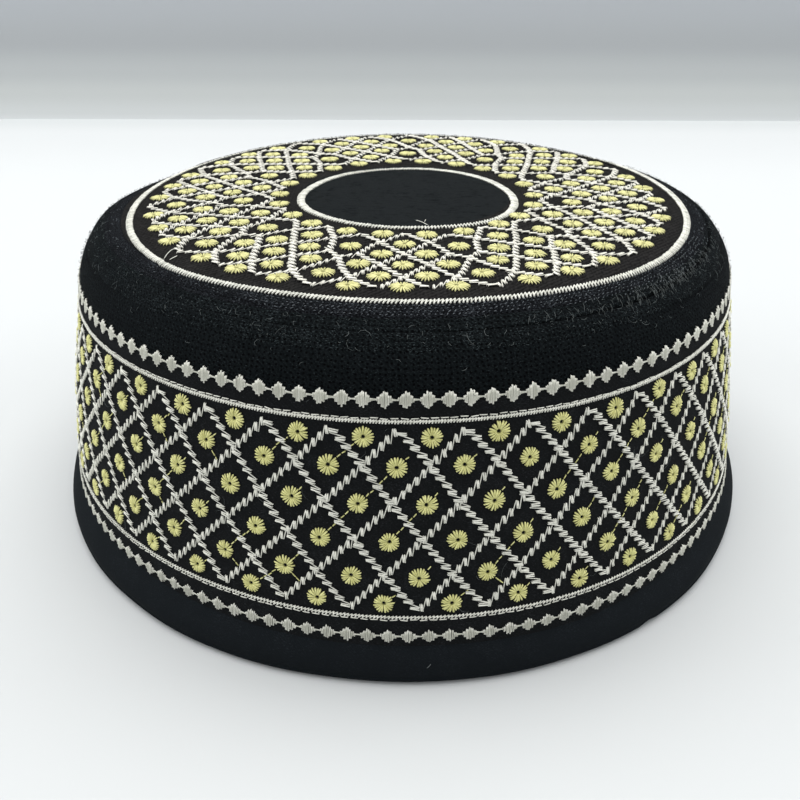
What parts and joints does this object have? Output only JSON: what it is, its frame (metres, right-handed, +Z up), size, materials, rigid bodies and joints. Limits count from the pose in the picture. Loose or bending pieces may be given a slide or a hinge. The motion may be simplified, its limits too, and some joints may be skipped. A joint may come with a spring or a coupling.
{
  "type": "prayer cap",
  "caption": "Round stiff brimless cap with a flat crown, rounded stitched shoulder, flared embroidered wall and folded hem, open below for the head.",
  "frame": {"origin": "on the floor under the cap, on its axis: the centre of the hem's lower edge", "axes": "+Z up along the cap's axis, out of the crown; -Y towards the side that the picture shows; +X to the right in the picture"},
  "size_m": [0.191, 0.191, 0.0759],
  "materials": {
    "black_cloth": "matt black woven cloth, quilted with black thread on the shoulder",
    "hem_cloth": "matt black folded cloth",
    "white_thread": "off-white embroidery thread with a soft sheen",
    "yellow_thread": "pale yellow embroidery thread with a soft sheen"
  },
  "bodies": {
    "root": {"crown_panel": "black_cloth", "side_wall": "black_cloth", "hem_band": "hem_cloth", "crown_outer_ring": "white_thread", "crown_inner_ring": "white_thread", "upper_cord_line": "white_thread", "lower_cord_line": "white_thread", "upper_diamond_chain": "white_thread", "lower_diamond_chain": "white_thread"}
  },
  "joints": []
}
